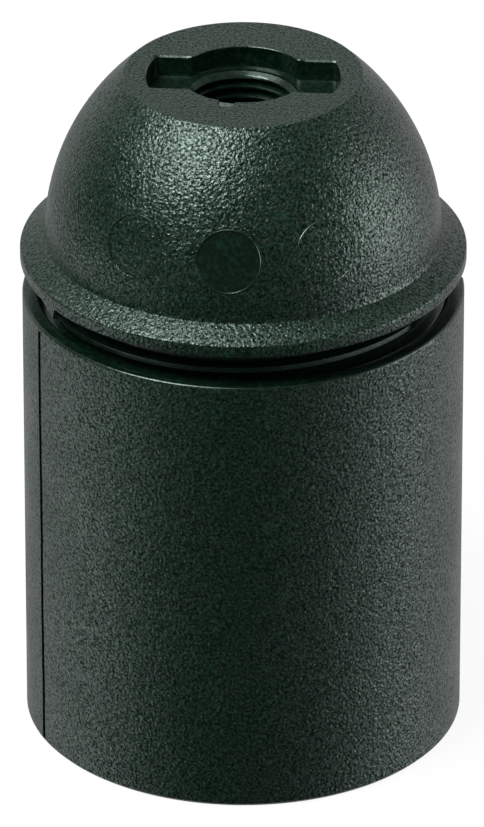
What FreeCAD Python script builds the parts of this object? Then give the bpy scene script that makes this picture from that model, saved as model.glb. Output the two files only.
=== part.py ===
import FreeCAD, Part
import math
import os

# Screw-shell lamp holder for a 27 mm lamp cap, with an M10 x 1 entry in its dome.
# Sizes are in millimetres and angles in degrees, counted from +X as seen from above.
# The barrel's mouth lies on z = 0, the cap is above it, and the front of the holder faces -Y.

# Lamp thread, the rounded 27 mm one
lamp_pitch = 3.629
lamp_major_r = 13.3
lamp_thread_depth = 1.1
lamp_arc_r = 1.025
lamp_crest_flat = 0.05
lamp_clearance = 0.3
lamp_thread_length = 20.0
mouth_flare = 1.3
mouth_flare_height = 3.2
mouth_land = 1.3
contact_room = 6.5

# Barrel, from the thread's sleeve outwards
sleeve_wall = 2.3
wall_space = 2.6
barrel_wall = 1.8
bore_step = 0.4
mouth_chamfer = 0.36
mouth_floor = 2.4
rim_edge = 0.2
rib_thickness = 1.4
ribs_a_side = 2
keyway_room = 0.85

# Cap thread, on the cap's spigot and in the barrel's top
cap_pitch = 2.0
cap_thread_depth = 0.85
cap_thread_crest = 0.5
cap_thread_root = 1.1
cap_thread_gap = 0.25
cap_thread_below_flange = 1.85
cap_thread_length = 5.2
cap_thread_end_angle = 327.0
barrel_thread_length = 5.0
barrel_thread_from_rim = 0.65

# Cap: spigot, flange and dome
cap_lift = 3.1
spigot_length = 8.0
spigot_chamfer = 0.35
spigot_gap = 0.1
flange_overhang = 0.17
flange_band = 1.15
flange_slope = 1.2
flange_shoulder = 2.22
dome_height = 15.76
dome_arc_r = 21.4
cap_wall = 2.0
bead_height = 0.75
bead_width = 1.2
bead_from_end = 1.0

# Cap: entry, counterbore and the winged recess round it
entry_minor_r = 4.46
entry_major_r = 5.0
entry_wall = 2.74
entry_length = 7.86
recess_depth = 2.0
recess_r = 8.7
recess_width = 6.4
recess_angle = -4.0
recess_border = 2.02
counterbore_r = 5.65
notch_r = 0.75
notch_reach = 0.95
notch_depth = 0.25
notch_angle = 255.0
roof_thickness = 2.26

# Locking tooth under the flange, and the ramp that it runs down on the barrel's rim
tooth_height = 1.0
tooth_end = 213.0
tooth_span = 6.9
tooth_back = 0.7
tooth_width = 1.25
tooth_gap = 0.12

# Terminal block
disc_setback = 0.2
block_disc_height = 3.95
block_deck_height = 6.0
deck_gap = 0.5
contact_angle = -15.0
key_width = 5.2
key_length = 9.0
key_setback = 0.4
key_gap = 0.2
partition_thickness = 1.8
partition_height = 7.0
guard_height = 3.5
guard_thickness = 0.9
hook_width = 5.0
hook_thickness = 1.5
hook_height = 1.8
hook_relief = 0.9
hook_setback = 0.25
hook_gap = 0.3
hook_rise = 0.1
block_floor = 1.2

# Terminals
plate_half_width = 3.2
plate_thickness = 1.2
plate_gap = 0.8
clamp_inset = 0.3
clamp_thickness = 1.0
clamp_corner = 0.7
clamp_gap = 0.56
screw_r = 1.5
screw_tip_room = 0.5
screw_head_inset = 0.1
screw_head_height = 2.0
screw_slot_width = 0.8
screw_slot_depth = 1.2
screw_edge = 0.33
screw_head_edge = 0.67
pocket_gap = 0.3
seat_gap = 0.05
hole_gap = 0.05
clamp_hole_gap = 0.2
rivet_r = 1.5
rivet_head_r = 2.3
rivet_head_height = 0.8
rivet_foot_height = 0.6
rivet_edge = 0.3
rivet_bore_r = 0.8
rivet_bore_depth = 2.5

# Contact springs
strip_thickness = 0.4
strip_gap = 0.25
centre_width = 5.0
centre_drop = 3.6
centre_tip_half = 1.8
centre_lip = 1.0
centre_lip_rise = 0.6
side_width = 4.4
side_straight = 6.5
side_bulge = 1.0
side_length = 12.0
side_swing_room = 0.7
tab_reach = 2.4

# How far pieces sink into each other where they join, and cuts run past a face
rib_sink = 0.1
cut_past = 1.0
thread_fuzz = 0.001

# The barrel's radii and heights
lamp_minor_r = lamp_major_r - lamp_thread_depth
relief_r = lamp_major_r + lamp_clearance
sleeve_r = lamp_major_r + sleeve_wall
barrel_inner_r = sleeve_r + wall_space
barrel_r = barrel_inner_r + barrel_wall
barrel_bore_r = barrel_inner_r + bore_step
lamp_thread_bottom = mouth_flare_height + mouth_land
lamp_thread_top = lamp_thread_bottom + lamp_thread_length
seat_height = lamp_thread_top + contact_room
barrel_height = seat_height + block_disc_height + spigot_gap + spigot_length
barrel_bore_bottom = barrel_height - spigot_length - cap_thread_gap
helix_r = lamp_major_r

# The cap's radii and heights
cap_thread_r = barrel_bore_r - cap_thread_gap - cap_thread_depth
flange_r = barrel_r + flange_overhang
dome_base_r = flange_r - flange_shoulder
spigot_bore_r = dome_base_r - cap_wall
cap_top_r = recess_r + recess_border
flange_z = barrel_height + cap_lift
spigot_z = flange_z - spigot_length
dome_base_z = flange_z + flange_band + flange_slope
cap_top_z = dome_base_z + dome_height
recess_z = cap_top_z - recess_depth
roof_z = recess_z - roof_thickness
entry_bottom_z = recess_z - entry_length
tooth_start = tooth_end - tooth_span
tooth_tip = tooth_end - tooth_back

# The block's radii, and its heights above its own underside
block_z = seat_height + cap_lift
block_disc_r = cap_thread_r - disc_setback
deck_r = spigot_bore_r - bead_height - deck_gap
hook_under = block_disc_height + spigot_gap + bead_from_end + bead_width + hook_rise
plate_top = block_deck_height + plate_thickness
clamp_top = plate_top + seat_gap + clamp_thickness
screw_seat = clamp_top + seat_gap
screw_tip = block_floor + screw_tip_room
contact_z = -strip_gap - strip_thickness / 2
side_from_axis = relief_r
key_inner = side_from_axis + strip_thickness / 2 + side_swing_room
key_outer = block_disc_r - key_setback

# The terminals' places round the block
clamp_side = 2 * (plate_half_width - clamp_inset)
screw_head_r = clamp_side / 2 - screw_head_inset
rivet_from_axis = deck_r - guard_thickness - plate_gap - plate_half_width
screw_along = rivet_head_r + clamp_gap + clamp_side / 2
screw_across = math.sqrt(rivet_from_axis**2 - screw_along**2)


def vector(x, y, z):
    return FreeCAD.Vector(x, y, z)


def cylinder(r, bottom, top):
    return Part.makeCylinder(r, top - bottom, vector(0, 0, bottom))


def box(x0, x1, y0, y1, z0, z1):
    return Part.makeBox(x1 - x0, y1 - y0, z1 - z0, vector(x0, y0, z0))


def revolved(edges):
    """A full turn about Z of a closed outline in the XZ plane."""
    return Part.Face(Part.Wire(edges)).revolve(vector(0, 0, 0), vector(0, 0, 1), 360)


def outline(points):
    """The straight edges that join (r, z) points in the XZ plane."""
    corners = [vector(r, 0, z) for r, z in points]
    return [Part.LineSegment(a, b).toShape() for a, b in zip(corners, corners[1:])]


def turned(points):
    return revolved(outline(points + points[:1]))


def at(shape, x, y, z=0):
    moved = shape.copy()
    moved.translate(vector(x, y, z))
    return moved


def spun(shape, angle):
    moved = shape.copy()
    moved.rotate(vector(0, 0, 0), vector(0, 0, 1), angle)
    return moved


def helical(edges, pitch, turns, start_z, start_angle):
    """A closed section in the XZ plane, drawn about z = 0, swept up a right-hand helix."""
    path = Part.makeHelix(pitch, pitch * turns, helix_r)
    swept = Part.Wire(path.Edges).makePipeShell([Part.Wire(edges)], True, True)
    return at(spun(swept, start_angle), 0, 0, start_z)


def thread_ridge(root_r, crest_r, turns, end_z, end_angle):
    """One moulded thread ridge of the cap thread, whose upper end is at end_z and end_angle."""
    sunk_r = root_r - math.copysign(rib_sink, crest_r - root_r)
    half_root = cap_thread_root / 2
    half_crest = cap_thread_crest / 2
    section = [(sunk_r, -half_root), (root_r, -half_root), (crest_r, -half_crest)]
    section += [(crest_r, half_crest), (root_r, half_root), (sunk_r, half_root), (sunk_r, -half_root)]
    start_angle = end_angle - 360 * turns
    return helical(outline(section), cap_pitch, turns, end_z - cap_pitch * turns, start_angle)


def lamp_groove():
    """The groove of the lamp thread: an arc round each crest of the lamp, with hollow arcs beside it."""
    flank = lamp_minor_r + lamp_crest_flat
    hollow_r = lamp_minor_r + lamp_arc_r
    crest_centre = lamp_major_r - lamp_arc_r
    middle = (hollow_r + crest_centre) / 2
    half = lamp_pitch / 2
    edge = half - math.sqrt(lamp_arc_r**2 - (hollow_r - flank) ** 2)
    join = math.sqrt(lamp_arc_r**2 - (middle - crest_centre) ** 2)
    first_angle = math.atan2(hollow_r - flank, half - edge)
    last_angle = math.atan2(hollow_r - middle, half - join)
    bend_angle = (first_angle + last_angle) / 2
    bend_r = hollow_r - lamp_arc_r * math.sin(bend_angle)
    bend = half - lamp_arc_r * math.cos(bend_angle)
    lower = Part.Arc(vector(flank, 0, -edge), vector(bend_r, 0, -bend), vector(middle, 0, -join))
    crest = Part.Arc(vector(middle, 0, -join), vector(lamp_major_r, 0, 0), vector(middle, 0, join))
    upper = Part.Arc(vector(middle, 0, join), vector(bend_r, 0, bend), vector(flank, 0, edge))
    back = outline([(flank, edge), (flank - rib_sink, edge), (flank - rib_sink, -edge), (flank, -edge)])
    section = [lower.toShape(), crest.toShape(), upper.toShape()] + back
    start_z = lamp_thread_bottom - lamp_pitch / 2
    turns = (lamp_thread_top - lamp_thread_bottom + lamp_pitch) / lamp_pitch
    return helical(section, lamp_pitch, turns, start_z, 0)


def barrel_walls():
    """The outer wall, the mouth's floor and the thread sleeve, turned as one section."""
    crest_r = lamp_minor_r + lamp_crest_flat
    step = barrel_bore_r - barrel_inner_r
    lead = relief_r - crest_r
    section = [
        (barrel_r - mouth_chamfer, 0),
        (barrel_r, mouth_chamfer),
        (barrel_r, barrel_height - rim_edge),
        (barrel_r - rim_edge, barrel_height),
        (barrel_bore_r + rim_edge, barrel_height),
        (barrel_bore_r, barrel_height - rim_edge),
        (barrel_bore_r, barrel_bore_bottom),
        (barrel_inner_r, barrel_bore_bottom - step),
        (barrel_inner_r, mouth_floor),
        (sleeve_r, mouth_floor),
        (sleeve_r, seat_height),
        (relief_r, seat_height),
        (relief_r, lamp_thread_top),
        (crest_r, lamp_thread_top - lead),
        (crest_r, lamp_thread_bottom + lead),
        (relief_r, lamp_thread_bottom),
        (relief_r, mouth_flare_height),
        (relief_r + mouth_flare, 0),
    ]
    return turned(section)


def barrel_ribs():
    """Webs that tie the sleeve to the outer wall, midway between the two keyways."""
    web = box(
        sleeve_r - rib_sink,
        barrel_inner_r + rib_sink,
        -rib_thickness / 2,
        rib_thickness / 2,
        mouth_floor - rib_sink,
        seat_height,
    )
    angles = [180 * (n + 0.5) / ribs_a_side for n in range(2 * ribs_a_side)]
    return [spun(web, contact_angle + angle) for angle in angles]


def keyways():
    """Two slots in the sleeve, for the block's keys and the side contact."""
    half = key_width / 2 + key_gap
    bottom = seat_height - side_length - strip_thickness - keyway_room
    slot = box(lamp_minor_r - cut_past, sleeve_r + rib_sink, -half, half, bottom, seat_height + rib_sink)
    return [spun(slot, contact_angle), spun(slot, contact_angle + 180)]


def tooth_ramp():
    """The helical step in the rim that the locking tooth runs down as the cap goes home."""
    turn_home = 360 * cap_lift / cap_pitch
    half_width = tooth_span / 2
    start = tooth_start - turn_home - half_width
    floor_z = barrel_height - tooth_height - tooth_gap
    drop = cap_pitch * (tooth_tip - tooth_start + half_width) / 360
    inner = barrel_bore_r - cap_thread_depth
    outer = barrel_r + cut_past
    above = tooth_height + cap_pitch
    section = outline([(inner, 0), (outer, 0), (outer, above), (inner, above), (inner, 0)])
    turns = (tooth_height + tooth_gap + drop) / cap_pitch
    return helical(section, cap_pitch, turns, floor_z - drop, start)


def make_barrel():
    body = barrel_walls().fuse(barrel_ribs()).cut(keyways()).removeSplitter()
    body = body.cut([lamp_groove()], thread_fuzz)
    ridge_top = barrel_height - barrel_thread_from_rim
    cap_ridge_z = flange_z - cap_thread_below_flange
    # midway between two turns of the cap's ridge, at the height of the barrel's own last turn
    rise = (ridge_top - cap_ridge_z - cap_pitch / 2) % cap_pitch
    angle = cap_thread_end_angle + 360 * rise / cap_pitch
    crest_r = barrel_bore_r - cap_thread_depth
    turns = barrel_thread_length / cap_pitch
    ridge = thread_ridge(barrel_bore_r, crest_r, turns, ridge_top, angle)
    return body.fuse([ridge], thread_fuzz).cut([tooth_ramp()], thread_fuzz)


def dome_centre():
    """The centre of the dome's arc, in the XZ plane, from its two ends and its radius."""
    across = cap_top_r - dome_base_r
    chord = math.hypot(across, dome_height)
    back = math.sqrt(dome_arc_r**2 - chord**2 / 4)
    middle_r = (cap_top_r + dome_base_r) / 2
    middle_z = dome_base_z + dome_height / 2
    return middle_r - back * dome_height / chord, middle_z + back * across / chord


def dome_point(radius, z):
    """The point at height z of an arc about the dome's centre."""
    centre_r, centre_z = dome_centre()
    return centre_r + math.sqrt(radius**2 - (z - centre_z) ** 2), z


def dome_arc(radius, bottom, top):
    ends = [dome_point(radius, z) for z in (bottom, (bottom + top) / 2, top)]
    return Part.Arc(*[vector(r, 0, z) for r, z in ends]).toShape()


def cap_outside():
    start = (dome_base_r, dome_base_z)
    lower = [
        (0, spigot_z),
        (cap_thread_r - spigot_chamfer, spigot_z),
        (cap_thread_r, spigot_z + spigot_chamfer),
        (cap_thread_r, flange_z),
        (flange_r, flange_z),
        (flange_r, flange_z + flange_band),
        start,
    ]
    upper = [(cap_top_r, cap_top_z), (0, cap_top_z), (0, spigot_z)]
    return revolved(outline(lower) + [dome_arc(dome_arc_r, dome_base_z, cap_top_z)] + outline(upper))


def cap_inside():
    """The space in the cap, down through the open spigot."""
    inner_arc_r = dome_arc_r - cap_wall
    wall_end = (dome_point(inner_arc_r, dome_base_z)[0], dome_base_z)
    roof_end = dome_point(inner_arc_r, roof_z)
    lower = outline([(0, spigot_z), (wall_end[0], spigot_z), wall_end])
    upper = outline([roof_end, (0, roof_z), (0, spigot_z)])
    return revolved(lower + [dome_arc(inner_arc_r, dome_base_z, roof_z)] + upper)


def snap_bead():
    """The ring inside the spigot that the block's hooks catch on."""
    wall_r = spigot_bore_r + rib_sink
    bead_r = spigot_bore_r - bead_height
    bottom = spigot_z + bead_from_end
    slope = bead_width / 4
    section = [
        (wall_r, bottom),
        (bead_r, bottom + slope),
        (bead_r, bottom + bead_width - slope),
        (wall_r, bottom + bead_width),
    ]
    return turned(section)


def winged_recess():
    """The two-winged recess, the counterbore, the notch in its edge and the entry's bore."""
    top = cap_top_z + cut_past
    wings = box(-recess_r, recess_r, -recess_width / 2, recess_width / 2, recess_z, top)
    wings = spun(wings.common(cylinder(recess_r, recess_z, top)), recess_angle)
    notch_bottom = cap_top_z - notch_depth
    reach = counterbore_r + notch_reach - notch_r
    notch = box(0, reach, -notch_r, notch_r, notch_bottom, top)
    notch = notch.fuse(at(cylinder(notch_r, notch_bottom, top), reach, 0))
    lead = entry_major_r - entry_minor_r
    bore = turned(
        [
            (0, entry_bottom_z - cut_past),
            (entry_minor_r, entry_bottom_z - cut_past),
            (entry_minor_r, recess_z - lead),
            (entry_major_r, recess_z),
            (0, recess_z),
        ]
    )
    return [wings, cylinder(counterbore_r, recess_z, top), spun(notch, notch_angle), bore]


def locking_tooth():
    """A saw tooth under the flange's edge, with its slope leading as the cap is screwed on."""
    inner_r = flange_r - tooth_width
    degree = math.radians(1) * flange_r
    ahead = (tooth_start - tooth_end) * degree
    tip = (tooth_tip - tooth_end) * degree
    corners = [(0, rib_sink), (ahead, rib_sink), (ahead, 0), (tip, -tooth_height), (0, 0), (0, rib_sink)]
    face = Part.Face(Part.makePolygon([vector(inner_r - cut_past, y, z) for y, z in corners]))
    wedge = at(face.extrude(vector(tooth_width + 2 * cut_past, 0, 0)), 0, 0, flange_z)
    bottom = flange_z - tooth_height
    top = flange_z + rib_sink
    ring = cylinder(flange_r, bottom, top).cut(cylinder(inner_r, bottom, top))
    return spun(wedge.common(ring), tooth_end)


def make_cap():
    body = cap_outside().cut(cap_inside())
    boss = cylinder(entry_minor_r + entry_wall, entry_bottom_z, roof_z + rib_sink)
    ridge_z = flange_z - cap_thread_below_flange
    crest_r = cap_thread_r + cap_thread_depth
    turns = cap_thread_length / cap_pitch
    ridge = thread_ridge(cap_thread_r, crest_r, turns, ridge_z, cap_thread_end_angle)
    body = body.fuse([boss, snap_bead(), locking_tooth()]).cut(winged_recess()).removeSplitter()
    return body.fuse([ridge], thread_fuzz)


def plate_centres(side):
    """Where a terminal's rivet and screw stand: side is -1 on the left and 1 on the right."""
    return (side * rivet_from_axis, 0), (side * screw_across, side * screw_along)


def hook():
    """A snap hook on the +Y side, whose barb stands over the cap's bead."""
    half = hook_width / 2
    outer = deck_r - hook_setback
    inner = outer - hook_thickness
    barb_r = spigot_bore_r - hook_gap
    top = hook_under + hook_height
    stem = box(-half, half, inner, outer, block_disc_height - rib_sink, hook_under)
    corners = [(inner, hook_under), (barb_r, hook_under), (barb_r, hook_under + hook_height / 3)]
    corners += [(outer, top), (inner, top), (inner, hook_under)]
    face = Part.Face(Part.makePolygon([vector(-half, y, z) for y, z in corners]))
    barb = face.extrude(vector(hook_width, 0, 0)).common(cylinder(barb_r, hook_under, top))
    return stem.fuse(barb)


def key(side):
    """A tongue under the disc that runs in one of the sleeve's keyways."""
    tongue = box(key_inner, key_outer, -key_width / 2, key_width / 2, -key_length, rib_sink)
    return spun(tongue, 0 if side > 0 else 180)


def guards():
    """The wall round the deck's edge, the ribs that stop the clamps turning, and the partition."""
    top = block_deck_height + guard_height
    low = block_deck_height - rib_sink
    wall = cylinder(deck_r, low, top).cut(cylinder(deck_r - guard_thickness, low, top))
    half_gap = hook_width / 2 + hook_relief + guard_thickness
    wall = wall.cut(box(-half_gap, half_gap, -deck_r, deck_r, low, top))
    half = partition_thickness / 2
    reach = deck_r - hook_thickness - hook_relief - guard_thickness
    parts = [wall, box(-half, half, -reach, reach, low, block_deck_height + partition_height)]
    for side in (-1, 1):
        (_, _), (x, y) = plate_centres(side)
        inner = abs(x) - clamp_side / 2 - pocket_gap
        rib = box(inner - guard_thickness, inner, -clamp_side / 2, clamp_side / 2, low, top)
        parts.append(at(rib if side > 0 else spun(rib, 180), 0, y))
    return parts


def block_holes():
    """Rivet holes, screw pockets, the hooks' reliefs and the room over the side contact's bend."""
    cuts = []
    top = block_deck_height + cut_past
    for side in (-1, 1):
        (rivet_x, rivet_y), (screw_x, screw_y) = plate_centres(side)
        cuts.append(at(cylinder(rivet_r + hole_gap, -cut_past, top), rivet_x, rivet_y))
        pocket = cylinder(screw_r + pocket_gap, block_floor, top)
        cuts.append(at(pocket, screw_x, screw_y))
        relief = box(
            -hook_width / 2 - hook_relief,
            hook_width / 2 + hook_relief,
            deck_r - hook_setback - hook_thickness - hook_relief,
            deck_r + cut_past,
            block_disc_height,
            top,
        )
        cuts.append(spun(relief, 90 - 90 * side))
    bend = side_from_axis + strip_thickness + side_swing_room
    half = key_width / 2
    tab_end = rivet_from_axis + rivet_head_r
    cuts.append(box(-bend, -tab_end, -half, half, -cut_past, strip_gap + strip_thickness))
    return cuts


def make_block():
    disc = cylinder(block_disc_r, 0, block_disc_height)
    deck = cylinder(deck_r, block_disc_height - rib_sink, block_deck_height)
    body = disc.fuse([deck] + guards()).cut(block_holes())
    body = body.fuse([hook(), spun(hook(), 180), key(-1), key(1)])
    return body.removeSplitter()


def terminal_plate(side):
    """A brass strip with round ends, riveted at one end and tapped for the clamp screw at the other."""
    (rivet_x, rivet_y), (screw_x, screw_y) = plate_centres(side)
    length = math.hypot(screw_x - rivet_x, screw_y - rivet_y)
    angle = math.degrees(math.atan2(screw_y - rivet_y, screw_x - rivet_x))
    bottom = block_deck_height
    strip = box(0, length, -plate_half_width, plate_half_width, bottom, plate_top)
    ends = [cylinder(plate_half_width, bottom, plate_top)]
    ends.append(at(ends[0], length, 0))
    holes = [cylinder(rivet_r + hole_gap, bottom, plate_top)]
    holes.append(at(cylinder(screw_r + hole_gap, bottom, plate_top), length, 0))
    return at(spun(strip.fuse(ends).cut(holes), angle), rivet_x, rivet_y).removeSplitter()


def clamp_plate(side):
    """The square washer under the screw's head, which presses on the wire and cannot turn."""
    half = clamp_side / 2
    bottom = plate_top + seat_gap
    blank = box(-half, half, -half, half, bottom, clamp_top)
    upright = [e for e in blank.Edges if abs(e.tangentAt(e.FirstParameter).z) > 0.9]
    blank = blank.makeChamfer(clamp_corner, upright)
    washer = blank.cut(cylinder(screw_r + clamp_hole_gap, bottom, clamp_top))
    _, (x, y) = plate_centres(side)
    return at(washer, x, y)


def terminal_screw(side):
    """A pan-head screw with a straight slot, plain along its thread."""
    top = screw_seat + screw_head_height
    body = turned(
        [
            (0, screw_tip),
            (screw_r - screw_edge, screw_tip),
            (screw_r, screw_tip + screw_edge),
            (screw_r, screw_seat),
            (screw_head_r, screw_seat),
            (screw_head_r, top - screw_head_edge),
            (screw_head_r - screw_head_edge, top),
            (0, top),
        ]
    )
    half = screw_slot_width / 2
    slot = box(-screw_head_r, screw_head_r, -half, half, top - screw_slot_depth, top + cut_past)
    _, (x, y) = plate_centres(side)
    return at(body.cut(slot), x, y)


def rivet(side):
    """A part-hollow rivet through the terminal plate, the block and the contact's tab."""
    foot_top = -2 * strip_gap - strip_thickness
    foot = foot_top - rivet_foot_height
    head = plate_top + rivet_head_height
    body = turned(
        [
            (rivet_bore_r, foot),
            (rivet_head_r - rivet_edge, foot),
            (rivet_head_r, foot + rivet_edge),
            (rivet_head_r, foot_top),
            (rivet_r, foot_top),
            (rivet_r, plate_top),
            (rivet_head_r, plate_top),
            (rivet_head_r - rivet_edge, head),
            (0, head),
            (0, foot + rivet_bore_depth),
            (rivet_bore_r, foot + rivet_bore_depth),
        ]
    )
    (x, y), _ = plate_centres(side)
    return at(body, x, y)


def bent_strip(points, width):
    """A strip of even thickness along (x, z) points, with mitred bends, standing across Y."""
    half = strip_thickness / 2
    sides = ([], [])
    for n, (x, z) in enumerate(points):
        before = points[max(n - 1, 0)]
        after = points[min(n + 1, len(points) - 1)]
        first = math.atan2(z - before[1], x - before[0]) if n else None
        last = math.atan2(after[1] - z, after[0] - x) if n < len(points) - 1 else first
        first = last if first is None else first
        lean = (first + last) / 2
        reach = half / math.cos((last - first) / 2)
        for side, sign in zip(sides, (1, -1)):
            across = sign * reach
            side.append(vector(x - across * math.sin(lean), -width / 2, z + across * math.cos(lean)))
    loop = sides[0] + sides[1][::-1] + sides[0][:1]
    return Part.Face(Part.makePolygon(loop)).extrude(vector(0, width, 0))


def centre_contact():
    """The spring that meets the lamp's end: a riveted tab and a tongue down to the axis."""
    near = rivet_from_axis - tab_reach
    drop = contact_z - centre_drop + strip_gap
    points = [
        (rivet_from_axis + tab_reach, contact_z),
        (near, contact_z),
        (centre_tip_half, drop),
        (-centre_tip_half, drop),
        (-centre_tip_half - centre_lip, drop + centre_lip_rise),
    ]
    hole = at(cylinder(rivet_r + strip_gap, contact_z - cut_past, 0), rivet_from_axis, 0)
    return bent_strip(points, centre_width).cut(hole)


def side_contact():
    """The spring that meets the lamp's shell: a riveted tab and a leg down the keyway."""
    end = contact_z - side_length + strip_gap
    middle = (end - side_straight) / 2
    points = [
        (tab_reach - rivet_from_axis, contact_z),
        (-side_from_axis, contact_z),
        (-side_from_axis, -side_straight),
        (side_bulge - side_from_axis, middle),
        (-side_from_axis, end),
    ]
    hole = at(cylinder(rivet_r + strip_gap, contact_z - cut_past, 0), -rivet_from_axis, 0)
    return bent_strip(points, side_width).cut(hole)


def on_block(shape):
    """From the block's own frame to its place in the holder."""
    return at(spun(shape, contact_angle), 0, 0, block_z)


def pieces():
    made = {"barrel": make_barrel(), "cap": make_cap(), "terminal_block": on_block(make_block())}
    made["centre_contact"] = on_block(centre_contact())
    made["side_contact"] = on_block(side_contact())
    for name, side in (("left", -1), ("right", 1)):
        made["terminal_plate_" + name] = on_block(terminal_plate(side))
        made["clamp_plate_" + name] = on_block(clamp_plate(side))
        made["terminal_screw_" + name] = on_block(terminal_screw(side))
        made["rivet_" + name] = on_block(rivet(side))
    return made


os.makedirs("parts", exist_ok=True)
for name, shape in pieces().items():
    print(name, len(shape.Solids), "solid", shape.isValid(), round(shape.Volume, 2), "mm3")
    shape.exportStep("parts/" + name + ".step")
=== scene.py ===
# %% [markdown]
# # A screw-shell lamp holder in black moulded thermoset
# The object is a plain lamp holder that stands on its mouth: a tall round barrel with the lamp
# thread inside, and a domed cap that screws into the barrel's top and carries the cable entry.
# The solids come from a CAD model and are loaded first as a fixed frame. Everything that is made
# here is set on that frame in metres, so no piece needs to be fitted by eye.

import math

import bmesh
import bpy
from mathutils import Matrix, Vector


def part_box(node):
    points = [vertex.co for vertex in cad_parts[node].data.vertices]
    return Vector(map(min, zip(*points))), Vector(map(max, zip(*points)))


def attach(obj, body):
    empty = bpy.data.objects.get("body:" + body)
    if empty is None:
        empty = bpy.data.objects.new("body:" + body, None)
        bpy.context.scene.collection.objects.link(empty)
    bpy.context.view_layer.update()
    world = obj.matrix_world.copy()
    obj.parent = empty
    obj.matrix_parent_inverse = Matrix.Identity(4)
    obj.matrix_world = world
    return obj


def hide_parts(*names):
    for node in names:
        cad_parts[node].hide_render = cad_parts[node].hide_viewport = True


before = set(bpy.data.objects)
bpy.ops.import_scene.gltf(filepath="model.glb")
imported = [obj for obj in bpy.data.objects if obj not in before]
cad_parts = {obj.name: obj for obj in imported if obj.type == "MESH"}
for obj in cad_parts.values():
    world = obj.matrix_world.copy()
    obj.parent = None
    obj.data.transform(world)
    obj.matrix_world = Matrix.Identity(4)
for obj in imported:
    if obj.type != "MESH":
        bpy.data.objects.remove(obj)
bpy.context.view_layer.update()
MM = 0.001

# %% [markdown]
# ## Colours
# A colour is written as the hex value that a paint program would show. The shader works in linear
# light, so one function turns the first into the second.


# %% Colours from hex
def linear(hex_colour):
    """An sRGB hex colour as linear red, green, blue and an alpha of 1."""
    parts = [int(hex_colour[n : n + 2], 16) / 255 for n in (1, 3, 5)]
    return [c / 12.92 if c <= 0.04045 else ((c + 0.055) / 1.055) ** 2.4 for c in parts] + [1.0]


print("mid grey #808080 in linear light:", round(linear("#808080")[0], 3))

# %% [markdown]
# ## Building a material from nodes
# Every finish below is a small chain of nodes. One helper adds a node, sets its properties and
# sockets, and links what feeds it, so that each chain reads as a list. A scale is given as a real
# size in millimetres: object coordinates are metres, so a pattern's scale is 1000 over that size.


# %% One helper for nodes
def add_node(tree, kind, settings=None, links=None):
    """Adds a node. Settings name its properties or sockets, and links feed its sockets."""
    node = tree.nodes.new(kind)
    for name, value in (settings or {}).items():
        if isinstance(name, int) or name in node.inputs:
            node.inputs[name].default_value = value
        else:
            setattr(node, name, value)
    for name, (source, output) in (links or {}).items():
        tree.links.new(source.outputs[output], node.inputs[name])
    return node


def per_size(millimetres):
    """The texture scale that makes one feature of a pattern this large."""
    return 1 / (millimetres * MM)


def new_material(name, settings):
    """An empty node material with one principled shader, its output and object coordinates."""
    material = bpy.data.materials.new(name)
    material.use_nodes = True
    tree = material.node_tree
    tree.nodes.clear()
    shader = add_node(tree, "ShaderNodeBsdfPrincipled", settings)
    add_node(tree, "ShaderNodeOutputMaterial", links={"Surface": (shader, "BSDF")})
    place = add_node(tree, "ShaderNodeTexCoord")
    return material, tree, shader, place


print("scale of a pattern of 1 mm:", round(per_size(1.0)))

# %% [markdown]
# ## Black moulded thermoset
# Barrel, cap and terminal block are glass-filled polyester, pressed hot in a steel tool. The real
# material is dyed black, looks faintly green where it catches light, and is full of short glass
# fibres that show as paler flecks. The tool for the two outer parts was spark-eroded, which
# leaves an even grain: each grain tips the light another way, so every highlight breaks into
# sparkle. A painted speckle would stay put under any light, so the grain is a bump and only the
# flecks are colour. Fibre ends at the skin shine and the pores beside them do not, so how much
# the skin reflects is uneven too. The real grain is near 0.1 mm and a fibre is thinner still, too
# fine to show, so the grain and its flecks are drawn about 0.3 mm wide and the fibre ends 0.22 mm.
# Slow clouds a few millimetres wide stand for the flow of the compound as it filled the tool.
# Turned and polished cores formed the threads, the recess and the rim, so those get a smoother
# finish, with a faint unevenness that is also drawn coarser than it is, half a millimetre wide.


# %% Moulded thermoset
FIBRE, CLOUD = 0.22, 6.0


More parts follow.
